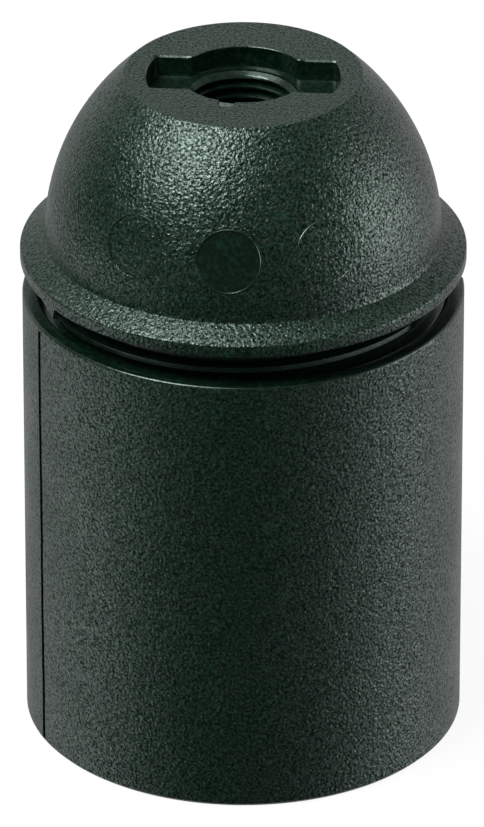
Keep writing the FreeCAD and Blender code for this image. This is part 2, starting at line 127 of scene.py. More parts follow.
def moulded_thermoset(name, colour, fleck, grain, grain_depth, roughness, sparkle):
    """Black glass-filled polyester. Sizes are in mm, and sparkle is how unevenly it reflects."""
    settings = {"IOR": 1.56, "Specular Tint": linear("#e4fff4")}
    material, tree, shader, place = new_material(name, settings)
    here = {"Vector": (place, "Object")}
    grains = add_node(tree, "ShaderNodeTexNoise", {"Scale": per_size(grain), "Detail": 2.0}, here)
    flecks = add_node(
        tree, "ShaderNodeTexNoise", {"Scale": per_size(grain * 0.9), "Detail": 1.0, "Lacunarity": 2.3}, here
    )
    fibres = add_node(tree, "ShaderNodeTexNoise", {"Scale": per_size(FIBRE), "Detail": 1.0}, here)
    clouds = add_node(tree, "ShaderNodeTexNoise", {"Scale": per_size(CLOUD), "Detail": 4.0}, here)
    share = add_node(
        tree,
        "ShaderNodeMapRange",
        {"From Min": 0.46, "From Max": 0.72, "To Min": 0.0, "To Max": 1.0},
        {"Value": (flecks, "Fac")},
    )
    tone = add_node(
        tree,
        "ShaderNodeMix",
        {"data_type": "RGBA", 6: linear(colour), 7: linear(fleck)},
        {0: (share, "Result")},
    )
    gloss = add_node(
        tree,
        "ShaderNodeMapRange",
        {"From Min": 0.3, "From Max": 0.7, "To Min": roughness - 0.05, "To Max": roughness + 0.06},
        {"Value": (clouds, "Fac")},
    )
    glint = add_node(
        tree,
        "ShaderNodeMapRange",
        {"From Min": 0.36, "From Max": 0.66, "To Min": 0.5 - sparkle, "To Max": 0.5 + sparkle},
        {"Value": (fibres, "Fac")},
    )
    bump = add_node(
        tree,
        "ShaderNodeBump",
        {"Strength": 1.0, "Distance": grain_depth * MM},
        {"Height": (grains, "Fac")},
    )
    tree.links.new(tone.outputs[2], shader.inputs["Base Color"])
    tree.links.new(gloss.outputs["Result"], shader.inputs["Roughness"])
    tree.links.new(glint.outputs["Result"], shader.inputs["Specular IOR Level"])
    tree.links.new(bump.outputs["Normal"], shader.inputs["Normal"])
    return material


print("fibres and clouds in mm:", FIBRE, CLOUD)

# %% The thermoset finishes
GRAIN, GRAIN_DEPTH, SMOOTH_GRAIN = 0.3, 0.12, 0.5
barrel_finish = moulded_thermoset(
    "spark_eroded_thermoset_barrel", "#03110a", "#102c1c", GRAIN, GRAIN_DEPTH, 0.31, 0.45
)
cap_finish = moulded_thermoset(
    "spark_eroded_thermoset_cap", "#03110a", "#112d1d", GRAIN, GRAIN_DEPTH, 0.3, 0.45
)
core_finish = moulded_thermoset(
    "turned_core_thermoset", "#03110a", "#0b2215", SMOOTH_GRAIN, 0.015, 0.24, 0.12
)
block_finish = moulded_thermoset(
    "polished_tool_thermoset_block", "#0b140f", "#1a2720", SMOOTH_GRAIN, 0.012, 0.3, 0.1
)
print("grain of the eroded and the smooth skin in mm:", GRAIN, SMOOTH_GRAIN)

# %% [markdown]
# ## The metals inside
# The contacts are rolled phosphor bronze, the terminal plates stamped brass, the rivets turned
# brass and the screws and clamps zinc-plated steel. Bare metal has no colour of its own under the
# reflection, so metallic is 1 and the base colour is the reflection's tint. Rolling leaves fine
# lines along the strip, turning leaves rings, and zinc plating leaves a soft grey mottle. Real
# lines and rings are a few hundredths of a millimetre wide, too fine to show, so they are drawn
# 0.15 to 0.3 mm wide.

# %% Metals
MARK_DEPTH = 0.01


def worked_metal(name, colour, shade, roughness, streak):
    """A metal whose working marks are streaks of this size in mm along X, Y and Z."""
    material, tree, shader, place = new_material(name, {"Metallic": 1.0})
    stretch = add_node(
        tree,
        "ShaderNodeMapping",
        {"Scale": [per_size(size) for size in streak]},
        {"Vector": (place, "Object")},
    )
    marks = add_node(
        tree, "ShaderNodeTexNoise", {"Scale": 1.0, "Detail": 4.0}, {"Vector": (stretch, "Vector")}
    )
    tone = add_node(
        tree,
        "ShaderNodeMix",
        {"data_type": "RGBA", 6: linear(shade), 7: linear(colour)},
        {0: (marks, "Fac")},
    )
    gloss = add_node(
        tree,
        "ShaderNodeMapRange",
        {"From Min": 0.3, "From Max": 0.7, "To Min": roughness + 0.08, "To Max": roughness - 0.06},
        {"Value": (marks, "Fac")},
    )
    bump = add_node(
        tree, "ShaderNodeBump", {"Strength": 0.6, "Distance": MARK_DEPTH * MM}, {"Height": (marks, "Fac")}
    )
    tree.links.new(tone.outputs[2], shader.inputs["Base Color"])
    tree.links.new(gloss.outputs["Result"], shader.inputs["Roughness"])
    tree.links.new(bump.outputs["Normal"], shader.inputs["Normal"])
    return material


print("depth of the working marks in mm:", MARK_DEPTH)

# %% Finishes of the CAD solids
bronze_finish = worked_metal("rolled_phosphor_bronze", "#d9a274", "#b57f52", 0.3, (0.25, 6.0, 0.25))
plate_finish = worked_metal("stamped_brass", "#d8b468", "#b8934a", 0.34, (3.0, 0.3, 3.0))
rivet_finish = worked_metal("turned_brass", "#dcb86e", "#b18c47", 0.28, (1.2, 1.2, 0.15))
steel_finish = worked_metal("zinc_plated_steel", "#c9cdd1", "#9da3a8", 0.32, (0.9, 0.9, 0.9))
finish_of_node = {
    "terminal_block": block_finish,
    "centre_contact": bronze_finish,
    "side_contact": bronze_finish,
    "terminal_plate_left": plate_finish,
    "terminal_plate_right": plate_finish,
    "rivet_left": rivet_finish,
    "rivet_right": rivet_finish,
    "clamp_plate_left": steel_finish,
    "clamp_plate_right": steel_finish,
    "terminal_screw_left": steel_finish,
    "terminal_screw_right": steel_finish,
    "barrel": barrel_finish,
    "cap": cap_finish,
}
for name, finish in finish_of_node.items():
    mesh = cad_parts[name].data
    mesh.materials.clear()
    mesh.materials.append(finish)
print("finishes set on", len(finish_of_node), "nodes")

# %% [markdown]
# ## Rings of points
# Both mouldings are round, so each is built as a lathe would see it: closed rings of points, one
# above the other, joined by bands of quads. A ring need not be a true circle, so the same method
# gives the winged recess and the sloping rim. A profile's corners are rounded here, because no
# moulded edge is perfectly sharp and it is the small round that catches a line of light.


# %% Rings and bands
def ring(bm, points):
    """A closed ring of vertices from (radius, angle in degrees, height) in mm."""
    made = []
    for radius, angle, height in points:
        turn = math.radians(angle)
        spot = (radius * math.cos(turn), radius * math.sin(turn), height)
        made.append(bm.verts.new(Vector(spot) * MM))
    return made


def even_ring(bm, angles, spot):
    """A true circle of (radius, height) in mm, with a point at each of these angles."""
    return ring(bm, [(spot[0], angle, spot[1]) for angle in angles])


def join(bm, lower, upper, open_at=()):
    """A band of quads between two rings with as many points, but none at the open places."""
    for n in range(len(lower)):
        if n not in open_at:
            after = (n + 1) % len(lower)
            bm.faces.new((lower[n], lower[after], upper[after], upper[n]))


def join_all(bm, rings):
    """Bands of quads from each ring to the next one."""
    for lower, upper in zip(rings, rings[1:]):
        join(bm, lower, upper)


def join_flat(bm, few, few_angles, many, many_angles):
    """A flat band between a coarse ring and a fine one that has all of the coarse ring's angles."""
    place = {round(angle, 4): n for n, angle in enumerate(many_angles)}
    for n, angle in enumerate(few_angles):
        after = (n + 1) % len(few)
        first = place[round(angle, 4)]
        last = place[round(few_angles[after], 4)]
        if last <= first:
            last += len(many)
        edge = [many[k % len(many)] for k in range(first, last + 1)]
        bm.faces.new([few[after], few[n]] + edge)


print("rings are given in mm and made in metres, at a scale of", MM)


# %% Profiles and angles
def rounded(corners, steps=4):
    """A profile of (radius, height) from (radius, height, corner radius), its corners rounded."""
    profile = []
    for n, (r, z, size) in enumerate(corners):
        if size == 0 or n in (0, len(corners) - 1):
            profile.append((r, z))
            continue
        corner = Vector((r, z))
        before = (Vector(corners[n - 1][:2]) - corner).normalized()
        after = (Vector(corners[n + 1][:2]) - corner).normalized()
        half = before.angle(after) / 2
        reach = size / math.tan(half)
        centre = corner + (before + after).normalized() * (size / math.sin(half))
        start = corner + before * reach - centre
        end = corner + after * reach - centre
        for k in range(steps + 1):
            profile.append(tuple(centre + start.slerp(end, k / steps).normalized() * size))
    return profile


def span(first, last, step):
    """Evenly spaced values from the first to the last."""
    return [first + n * step for n in range(round((last - first) / step) + 1)]


def angles_with(step, extra=()):
    """The angles of a ring: evenly spaced ones, and extra ones where the shape needs them."""
    return sorted({round(angle % 360, 4) for angle in span(0, 360 - step, step) + list(extra)})


print("corner of 0.5 mm rounded:", len(rounded([(0, 0, 0), (1, 0, 0.5), (1, 1, 0)])), "points")

# %% [markdown]
# ## Threads
# A thread can be swept along a helix, but the sweep then has to be joined to the wall round it.
# Here the wall itself is the thread: a band whose rows climb one pitch in each turn, and a
# function that says how far the wall stands from the axis at each angle and height. Rows that
# would pass the band's ends are held at the ends, where the points that fall together are merged.
# The rows need not be even: each list of offsets puts them close together on a thread's flanks.


# %% Threaded bands
def threaded_band(bm, angles, low, high, pitch, start, offsets, radius):
    """A band from low(angle) to high(angle) whose rows follow a right-hand helix, all in mm."""
    lowest = min(low(angle) for angle in angles)
    highest = max(high(angle) for angle in angles)
    first = math.floor((lowest - start) / pitch) - 2
    last = math.ceil((highest - start) / pitch) + 1
    rows = [start + pitch * turn + offset for turn in range(first, last) for offset in offsets]
    grid = []
    for angle in angles:
        climb = pitch * angle / 360
        heights = [min(max(row + climb, low(angle)), high(angle)) for row in rows]
        grid.append(ring(bm, [(radius(angle, z), angle, z) for z in heights]))
    for n, here in enumerate(grid):
        closing = n == len(grid) - 1
        there = grid[0] if closing else grid[n + 1]
        shift = len(offsets) if closing else 0
        for row in range(len(rows) - 1 - shift):
            a, b = here[row], here[row + 1]
            c, d = there[row + shift + 1], there[row + shift]
            if (a.co - b.co).length > 1e-9 or (c.co - d.co).length > 1e-9:
                bm.faces.new((a, d, c, b))


def smooth_step(x):
    """Rises gently from 0 to 1 while x goes from 0 to 1, and stays level on both sides."""
    x = min(max(x, 0.0), 1.0)
    return x * x * (3 - 2 * x)


def ridge_share(angle, z, end_angle, end_z, turns):
    """How much of a cap thread's ridge stands at this spot: 1 on its crest and 0 beside it."""
    around = (angle - end_angle) / 360
    climb = (z - end_z) / CAP_PITCH - around
    turn = round(climb)
    aside = abs(climb - turn) * CAP_PITCH
    travel = around + turn
    ends = smooth_step((travel + turns) / RIDGE_RUNOUT) * smooth_step(-travel / RIDGE_RUNOUT)
    slope = min(max((RIDGE_ROOT / 2 - aside) / (RIDGE_ROOT / 2 - RIDGE_CREST / 2), 0), 1)
    return ends * (slope + smooth_step(slope)) / 2


CAP_PITCH = 2.0
RIDGE_DEPTH, RIDGE_CREST, RIDGE_ROOT = 0.85, 0.5, 1.1
# the ridge's ends rise over 2.5 degrees, here as a share of a turn
RIDGE_RUNOUT = 2.5 / 360
RIDGE_ROWS = (-0.8, -0.57, -0.47, -0.33, -0.23, -0.12, 0.12, 0.23, 0.33, 0.47, 0.57, 0.8)
print("cap thread pitch in mm:", CAP_PITCH, "rows a turn:", len(RIDGE_ROWS))

# %% [markdown]
# ## Finishing a piece
# Each moulding ends the same way: points that fall together are merged, the faces are turned
# outwards, edges sharper than a small angle stay crisp, and a weighted normal keeps flat faces
# flat beside their rounded corners. Faces that a core formed get the smoother finish, which is the
# second one of the mesh. Then the piece gets its two materials and is tied to its body, and the CAD
# node that it stands for is hidden. The print counts open edges, and a sound moulding has none.


# %% Clean a mesh
MERGE_GAP, SHORTEST_EDGE = 0.0025, 0.0005


def tidy_mesh(bm):
    """Merges points, drops faces without width and loose points, and turns the faces outwards."""
    bmesh.ops.remove_doubles(bm, verts=bm.verts, dist=MERGE_GAP * MM)
    bmesh.ops.dissolve_degenerate(bm, edges=bm.edges, dist=SHORTEST_EDGE * MM)
    bmesh.ops.delete(bm, geom=[v for v in bm.verts if not v.link_faces], context="VERTS")
    bmesh.ops.recalc_face_normals(bm, faces=bm.faces)


def as_mesh(bm, name):
    """The finished mesh of the points and faces gathered so far."""
    mesh = bpy.data.meshes.new(name)
    bm.to_mesh(mesh)
    bm.free()
    return mesh


print("points closer than this are merged, in mm:", MERGE_GAP)

# %% Finish a piece
SHARP_FROM = 38


def finish_piece(mesh, name, finish, body, node, from_core):
    """Shades a piece, smoother where a core formed it, ties it to its body and hides its CAD node."""
    mesh.shade_smooth()
    mesh.set_sharp_from_angle(angle=math.radians(SHARP_FROM))
    for material in (finish, core_finish):
        mesh.materials.append(material)
    for face in mesh.polygons:
        middle = face.center / MM
        if from_core(middle.xy.length, middle.z):
            face.material_index = 1
    piece = bpy.data.objects.new(name, mesh)
    bpy.context.scene.collection.objects.link(piece)
    even = piece.modifiers.new("even_normals", "WEIGHTED_NORMAL")
    even.keep_sharp = True
    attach(piece, body)
    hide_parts(node)
    uses = [0] * len(mesh.edges)
    for loop in mesh.loops:
        uses[loop.edge_index] += 1
    open_edges = sum(1 for use in uses if use != 2)
    triangles = sum(len(face.vertices) - 2 for face in mesh.polygons)
    print(name, "triangles:", triangles, "open edges:", open_edges)


print("edges stay crisp from this angle, in degrees:", SHARP_FROM)

# %% [markdown]
# ## Sizes shared by the two mouldings
# These are the sizes of the CAD model in millimetres. The frame's own box gives the heights that
# the pieces must meet, so a change of the model shows up here as a difference in the print.

# %% Sizes
cap_low, cap_high = (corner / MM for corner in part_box("cap"))
barrel_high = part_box("barrel")[1] / MM
CAP_TOP = cap_high.z
SPIGOT_END = cap_low.z
FLANGE_R = cap_high.x
BARREL_R = barrel_high.x
RIM = barrel_high.z
FLANGE = SPIGOT_END + 8.0
SPIGOT_R = 17.5
SPIGOT_BORE_R = 15.95
DOME_BASE_R, DOME_BASE = 17.95, FLANGE + 2.35
CAP_TOP_R = 10.72
DOME_ARC_R = 21.4
ENTRY_R, ENTRY_ROOT_R = 4.46, 5.0
RECESS = CAP_TOP - 2.0
EDGE = 0.15
print("cap top, flange and rim in mm:", round(CAP_TOP, 2), round(FLANGE, 2), round(RIM, 2))

# %% [markdown]
# ## The cap's outside
# From the spigot's end the profile goes up the thread, out round the flange and its saw tooth,
# and over the dome. The dome is one arc whose centre lies past the axis.

# %% Dome shape
across = CAP_TOP_R - DOME_BASE_R
rise = CAP_TOP - DOME_BASE
chord = math.hypot(across, rise)
sagitta_leg = math.sqrt(DOME_ARC_R**2 - chord**2 / 4)
DOME_CENTRE_R = (CAP_TOP_R + DOME_BASE_R) / 2 - sagitta_leg * rise / chord
DOME_CENTRE = (DOME_BASE + CAP_TOP) / 2 + sagitta_leg * across / chord


def dome_r(z, arc=DOME_ARC_R):
    """How far the dome's skin stands from the axis at this height. A smaller arc lies inside it."""
    return DOME_CENTRE_R + math.sqrt(arc**2 - (z - DOME_CENTRE) ** 2)


print("dome arc centre in mm:", round(DOME_CENTRE_R, 2), round(DOME_CENTRE, 2))

# %% [markdown]
# ## Witness marks
# On the dome's front are three round marks, each 5.7 mm across, where pins of the tool pushed the
# part out: a slightly sunk disc inside a fine raised line. The middle one is flatter, and smooth
# like its pin's end. A grid fine enough to draw such a thin circle would be wasteful all over the dome.
# So a window is left open in the dome's grid round each mark, and it is filled with circles that
# spread out to meet the window's edge.


# %% Discs in the dome
MARK_R = 2.86
WINDOW_LOW, WINDOW_HIGH, WINDOW_SPAN = 50.8, 57.4, 23
DOME_ROW = 0.6
LINE_HEIGHT, FLAT_ENOUGH = 0.05, 0.5
# angle, height, how flat the disc is, how far it is sunk, and how much more at its top, in mm
MARKS = (
    (235.5, 54.12, 0.15, 0.03, 0.01),
    (265.5, 54.06, 0.55, 0.05, 0.05),
    (295.7, 54.2, 0.0, 0.015, 0.0),
)
# each circle's radius in mm, how far it spreads to the window's edge, and its height, if not sunk
CIRCLES = (
    (MARK_R + 0.18, 0.5, 0),
    (MARK_R + 0.12, 0, 0),
    (MARK_R + 0.07, 0, 0),
    (MARK_R + 0.02, 0, LINE_HEIGHT),
    (MARK_R - 0.02, 0, LINE_HEIGHT),
    (MARK_R - 0.08, 0, None),
    (2.5, 0, None),
    (1.7, 0, None),
    (0.8, 0, None),
)


def window_start(angle):
    """The first angle of the window round a mark, in whole degrees."""
    return math.floor(angle) - WINDOW_SPAN // 2


def in_window(angle):
    """Whether the dome's grid is left open from this angle on."""
    return any(0 <= angle - window_start(mark[0]) < WINDOW_SPAN for mark in MARKS)


print("witness marks:", len(MARKS), "of", MARK_R * 2, "mm")


# %% Fill a window
def on_dome(height, turn):
    """The dome's skin at this height and direction, in mm."""
    return Vector((dome_r(height) * math.cos(turn), dome_r(height) * math.sin(turn), height))


def fill_window(bm, rows, angles, mark):
    """Fills a window in the dome's rows with a witness mark."""
    angle, height, flat, sink, tilt = mark
    start = angles.index(window_start(angle))
    stop = start + WINDOW_SPAN
    edge = rows[0][start:stop] + [row[stop] for row in rows[:-1]]
    edge += rows[-1][stop:start:-1] + [row[start] for row in rows[:0:-1]]
    turn, lean = math.radians(angle), math.asin((height - DOME_CENTRE) / DOME_ARC_R)
    out = Vector((math.cos(lean) * math.cos(turn), math.cos(lean) * math.sin(turn), math.sin(lean)))
    centre = on_dome(height, turn)
    right = Vector((-math.sin(turn), math.cos(turn), 0))
    up = out.cross(right)
    flat_places = [((v.co / MM - centre).dot(right), (v.co / MM - centre).dot(up)) for v in edge]
    outer = edge
    for size, spread, lift in CIRCLES:
        made = []
        for u, v in flat_places:
            far = math.hypot(u, v)
            on_circle = Vector((u, v)) * (size / far)
            u_now, v_now = on_circle.lerp(Vector((u, v)), spread)
            spot = centre + right * u_now + up * v_now
            skin = on_dome(spot.z, math.atan2(spot.y, spot.x))
            sag = flat * (MARK_R**2 - size**2) / (2 * DOME_ARC_R)
            depth = sink + tilt * v_now / MARK_R + sag if lift is None else -lift
            made.append(bm.verts.new((skin - out * depth) * MM))
        join(bm, outer, made)
        outer = made
        if lift == LINE_HEIGHT or lift is None and flat > FLAT_ENOUGH:
            for face in {face for vertex in made for face in vertex.link_faces}:
                face.material_index = 1
    bm.faces.new(outer).material_index = int(flat > FLAT_ENOUGH)


rows_high = round((WINDOW_HIGH - WINDOW_LOW) / DOME_ROW)
print("points in each circle of a mark:", 2 * (WINDOW_SPAN + rows_high))

# %% [markdown]
# ## The cap's recess
# The top has a recess for the wings of a locking nut: a round counterbore with a slot across it,
# and in its front edge a small notch whose floor slopes down outwards. Its outline is written as
# one radius for each angle. Where two shapes meet, a soft maximum rounds the corner as the tool's
# cutter would have done. The upper edge has a small flat chamfer, wider along the wings, that
# catches the light.


# %% Outline of the recess
WING_R, WING_HALF, WING_ANGLE = 8.7, 3.2, -4.0
COUNTERBORE_R = 5.65
NOTCH_R, NOTCH_CENTRE_R, NOTCH_ANGLE, NOTCH_SLOPE = 0.75, 5.85, 255.0, 0.55
RECESS_DEPTH = CAP_TOP - RECESS
LIP_FINE, LIP_WIDE, LIP_END = 0.04, 0.14, 0.15


def soft_max(a, b, width):
    """The larger of two values, with a smooth turn where they are less than width apart."""
    near = max(width - abs(a - b), 0) / width
    return max(a, b) + near * near * width / 4


def recess_outline(angle, with_notch):
    """The recess's radius at this angle: counterbore, wings, and the small notch in its edge."""
    lean = abs(math.sin(math.radians(angle - WING_ANGLE)))
    side = WING_HALF / max(lean, 1e-6)
    wing = -soft_max(-WING_R, -side, 0.4)
    radius = soft_max(COUNTERBORE_R, wing, 0.3)
    turn = math.radians((angle - NOTCH_ANGLE + 180) % 360 - 180)
    inside = NOTCH_R**2 - (NOTCH_CENTRE_R * math.sin(turn)) ** 2
    if with_notch and inside > 0 and abs(turn) < 1:
        radius = soft_max(radius, NOTCH_CENTRE_R * math.cos(turn) + math.sqrt(inside), 0.1)
    return radius


def recess_ring(bm, with_notch, outwards, depth):
    """A ring round the recess's outline. How far out and deep it lies goes by angle and radius."""
    spots = []
    for angle in recess_angles:
        turn = math.radians(angle)
        radius = recess_outline(angle, with_notch)
        spots.append(Vector((radius * math.cos(turn), radius * math.sin(turn))))
    made = []
    for n, (angle, spot) in enumerate(zip(recess_angles, spots)):
        along = spots[(n + 1) % len(spots)] - spots[n - 1]
        moved = spot + Vector((along.y, -along.x)).normalized() * outwards(angle, spot.length)
        made.append(bm.verts.new(Vector((moved.x, moved.y, CAP_TOP - depth(angle, spot.length))) * MM))
    return made


def always(value):
    """A distance that is the same all round."""
    return lambda angle, radius: value


def lip(angle, radius):
    """The width of the chamfer: fine on the counterbore's edge, wider along the wings."""
    return LIP_FINE + (LIP_WIDE - LIP_FINE) * smooth_step((radius - COUNTERBORE_R - 0.15) / 0.4)


def scoop(angle, radius):
    """The notch's floor slopes down outwards from the counterbore."""
    return LIP_END + NOTCH_SLOPE * (recess_outline(angle, True) - recess_outline(angle, False))


corner_angles = []
for centre in (WING_ANGLE + 360, WING_ANGLE + 180):
    for side in (-1, 1):
        corner_angles += span(centre + side * 27 - 12, centre + side * 27 + 12, 0.25)
recess_angles = angles_with(1.0, corner_angles + span(246.0, 264.0, 0.25))
print("points in the recess's outline:", len(recess_angles))

# %% [markdown]
# ## The cap as one moulding
# The rings run up the outside, over the top, down the recess and the threaded entry, and back
# along the inside to the spigot's end, so the piece is closed. The entry's thread is the usual
# one for lamp fittings, 10 mm across with a pitch of 1 mm.

# %% The tooth and the two threads
TOOTH_START, TOOTH_TIP, TOOTH_END = 206.1, 212.3, 213.0
TOOTH_HEIGHT, TOOTH_INNER_R = 1.0, 18.92
CAP_THREAD_END, CAP_THREAD_TURNS = 327.0, 2.6
CAP_THREAD_Z = FLANGE - 1.85
ENTRY_END = RECESS - 7.86
GROOVE_HALF, GROOVE_FLANK = 0.41, 0.3125


def tooth_drop(angle):
    """How far the flange's underside hangs down at this angle, in its outer ring."""
    if TOOTH_START < angle <= TOOTH_TIP:
        return TOOTH_HEIGHT * (angle - TOOTH_START) / (TOOTH_TIP - TOOTH_START)
    if TOOTH_TIP < angle < TOOTH_END:
        return TOOTH_HEIGHT * (TOOTH_END - angle) / (TOOTH_END - TOOTH_TIP)
    return 0.0


def cap_ridge(angle, z):
    """The spigot's wall with its ridge."""
    share = ridge_share(angle, z, CAP_THREAD_END, CAP_THREAD_Z, CAP_THREAD_TURNS)
    return SPIGOT_R + RIDGE_DEPTH * share


def entry_wall(angle, z):
    """The entry's wall: a 60 degree thread, open to a chamfer at both ends."""
    climb = z - angle / 360
    aside = abs(climb - round(climb))
    groove = min(max((GROOVE_HALF - aside) / GROOVE_FLANK, 0), 1)
    chamfer = max(ENTRY_ROOT_R - (RECESS - z), ENTRY_ROOT_R - (z - ENTRY_END))
    return max(ENTRY_R + (ENTRY_ROOT_R - ENTRY_R) * groove, chamfer)


tooth_angles = [TOOTH_START, 206.5, 212.0, TOOTH_TIP, 212.6, TOOTH_END]
cap_angles = angles_with(1.0, tooth_angles + [325.5, 326.2, 326.6, CAP_THREAD_END])
coarse_angles = angles_with(3.0)
print("angles outside and inside:", len(cap_angles), len(coarse_angles))

# %% Spigot
bm = bmesh.new()
SPIGOT_CHAMFER = 0.35
spigot_foot = [(SPIGOT_BORE_R + 0.4, SPIGOT_END, 0), (SPIGOT_R - SPIGOT_CHAMFER, SPIGOT_END, 0.12)]
spigot_foot += [(SPIGOT_R, SPIGOT_END + SPIGOT_CHAMFER, 0)]
foot = [even_ring(bm, cap_angles, spot) for spot in rounded(spigot_foot)]
join_all(bm, foot)
threaded_band(
    bm,
    cap_angles,
    lambda angle: SPIGOT_END + SPIGOT_CHAMFER,
    lambda angle: FLANGE,
    CAP_PITCH,
    CAP_THREAD_Z - CAP_PITCH * CAP_THREAD_END / 360,
    RIDGE_ROWS,
    cap_ridge,
)
print("spigot:", len(bm.faces), "faces")

# %% Flange
under = [even_ring(bm, cap_angles, (r, FLANGE)) for r in (SPIGOT_R, TOOTH_INNER_R)]
tooth = [(TOOTH_INNER_R, 0), (FLANGE_R - EDGE, 0), (FLANGE_R - EDGE * 0.3, EDGE * 0.3), (FLANGE_R, EDGE)]
for r, lift in tooth:
    under.append(ring(bm, [(r, angle, FLANGE + lift - tooth_drop(angle)) for angle in cap_angles]))
flange = [(FLANGE_R, FLANGE + EDGE, 0), (FLANGE_R, FLANGE + 1.15, 0.22)]
flange += [(DOME_BASE_R + 0.12, DOME_BASE - 0.06, 0.06), (dome_r(DOME_BASE + 0.25), DOME_BASE + 0.25, 0)]
under += [even_ring(bm, cap_angles, spot) for spot in rounded(flange)[1:]]
join_all(bm, under)
print("with the flange:", len(bm.faces), "faces")

# %% Dome
TOP_EDGE = 0.22
heights = span(DOME_BASE + 0.7, WINDOW_LOW - 0.5, DOME_ROW * 0.9) + span(WINDOW_LOW, WINDOW_HIGH, DOME_ROW)
heights += span(WINDOW_HIGH + DOME_ROW, CAP_TOP - 0.7, DOME_ROW)
dome = [under[-1]] + [even_ring(bm, cap_angles, (dome_r(z), z)) for z in heights]
crown = [(dome_r(heights[-1]), heights[-1], 0), (CAP_TOP_R, CAP_TOP, TOP_EDGE)]
crown = rounded(crown + [(CAP_TOP_R - 1.0, CAP_TOP, 0)], 5)
dome += [even_ring(bm, cap_angles, spot) for spot in crown[1:-1]]
window_rows = [n + 1 for n, z in enumerate(heights) if WINDOW_LOW - 0.01 < z < WINDOW_HIGH + 0.01]
open_places = {n for n, angle in enumerate(cap_angles) if in_window(angle)}
for n, (lower, upper) in enumerate(zip(dome, dome[1:])):
    join(bm, lower, upper, open_places if window_rows[0] <= n < window_rows[-1] else ())
for mark in MARKS:
    fill_window(bm, [dome[n] for n in window_rows], cap_angles, mark)
print("cap outside:", len(bm.faces), "faces")

# %% [markdown]
# ## Joining fine and coarse rings
# The recess needs points every quarter of a degree where its corners are, and the dome doesn't.
# The top face is flat, so one many-sided face can reach from two points of the coarse ring to all
# the fine points between them. That keeps the dome light and adds nothing that could show.

# %% Recess and entry
rings = []
FLOOR_EDGE, FLOOR_BEND = 0.14, 0.04
for with_notch, outwards, depth in (
    (True, lip, always(0)),
    (True, always(0), lip),
    (True, always(0), scoop),
    (False, always(0), always(LIP_END + 0.02)),
    (False, always(0), always(RECESS_DEPTH - FLOOR_EDGE)),
    (False, always(-FLOOR_BEND), always(RECESS_DEPTH - FLOOR_BEND)),
    (False, always(-FLOOR_EDGE), always(RECESS_DEPTH)),
):
    rings.append(recess_ring(bm, with_notch, outwards, depth))
join_all(bm, rings)
shared = [angle for angle in cap_angles if angle in set(recess_angles)]
gathered = even_ring(bm, shared, (crown[-2][0] - 0.5, CAP_TOP))
join_flat(bm, gathered, shared, dome[-1], cap_angles)
join_flat(bm, gathered, shared, rings[0], recess_angles)
entry_top = even_ring(bm, coarse_angles, (ENTRY_ROOT_R, RECESS))
join_flat(bm, entry_top, coarse_angles, rings[-1], recess_angles)
ENTRY_ROWS = (-0.41, -0.32, -0.2, -0.0975, 0.0975, 0.2, 0.32, 0.41)
threaded_band(bm, coarse_angles, lambda a: ENTRY_END, lambda a: RECESS, 1.0, 0.0, ENTRY_ROWS, entry_wall)
print("with the recess and the entry:", len(bm.faces), "faces")

# %% Inside
WALL = 2.0
ROOF = RECESS - 2.26
BOSS_R = ENTRY_R + 2.74
BEAD_R = SPIGOT_BORE_R - 0.75
inner_arc = DOME_ARC_R - WALL
inside = [(ENTRY_ROOT_R, ENTRY_END, 0), (BOSS_R, ENTRY_END, 0.25), (BOSS_R, ROOF, 0.5)]
inside += [(dome_r(ROOF, inner_arc), ROOF, 0.8)]
inside += [(dome_r(z, inner_arc), z, 0) for z in span(ROOF - 2.0, DOME_BASE + 0.5, -1.2)]
inside += [(SPIGOT_BORE_R, DOME_BASE, 0.3), (SPIGOT_BORE_R, SPIGOT_END + 2.2, 0.1)]
inside += [(BEAD_R, SPIGOT_END + 1.9, 0.15), (BEAD_R, SPIGOT_END + 1.3, 0.15)]
inside += [(SPIGOT_BORE_R, SPIGOT_END + 1.0, 0.1)]
inside += [(SPIGOT_BORE_R, SPIGOT_END, EDGE), (SPIGOT_BORE_R + EDGE * 2, SPIGOT_END, 0)]
inside = [even_ring(bm, coarse_angles, spot) for spot in rounded(inside)]
join_all(bm, inside)
join_flat(bm, inside[-1], coarse_angles, foot[0], cap_angles)
tidy_mesh(bm)
cap_mesh = as_mesh(bm, "cap_shell")
print("cap:", len(cap_mesh.polygons), "faces")


# %% Finish the cap
def from_cap_core(radius, z):
    """Whether a face at this radius and height lies in the recess, on the spigot or inside."""
    if z < FLANGE - 0.01 and radius < SPIGOT_R + RIDGE_DEPTH:
        return True
    in_recess = radius < WING_R + 0.1 and z < CAP_TOP - 0.015
    return in_recess or z < CAP_TOP - WALL and radius < dome_r(z) - WALL / 2


finish_piece(cap_mesh, "cap_shell", cap_finish, "cap", "cap", from_cap_core)

# %% [markdown]
# ## The barrel's walls
# The barrel is a tall cup without a bottom. Its outer wall carries a parting line where the two
# halves of the tool met: a slit near half a millimetre wide that wanders a little, with one
# side standing a hair proud. The rim isn't level: it falls in one step and climbs back
# round the barrel, a ramp for the cap's tooth. Its edges are round, and the outer one catches the
# line of light that shows below the neck. Inside are the ridge that holds the cap, a sleeve with
# the rounded lamp thread, and between the two walls an empty ring with four webs.

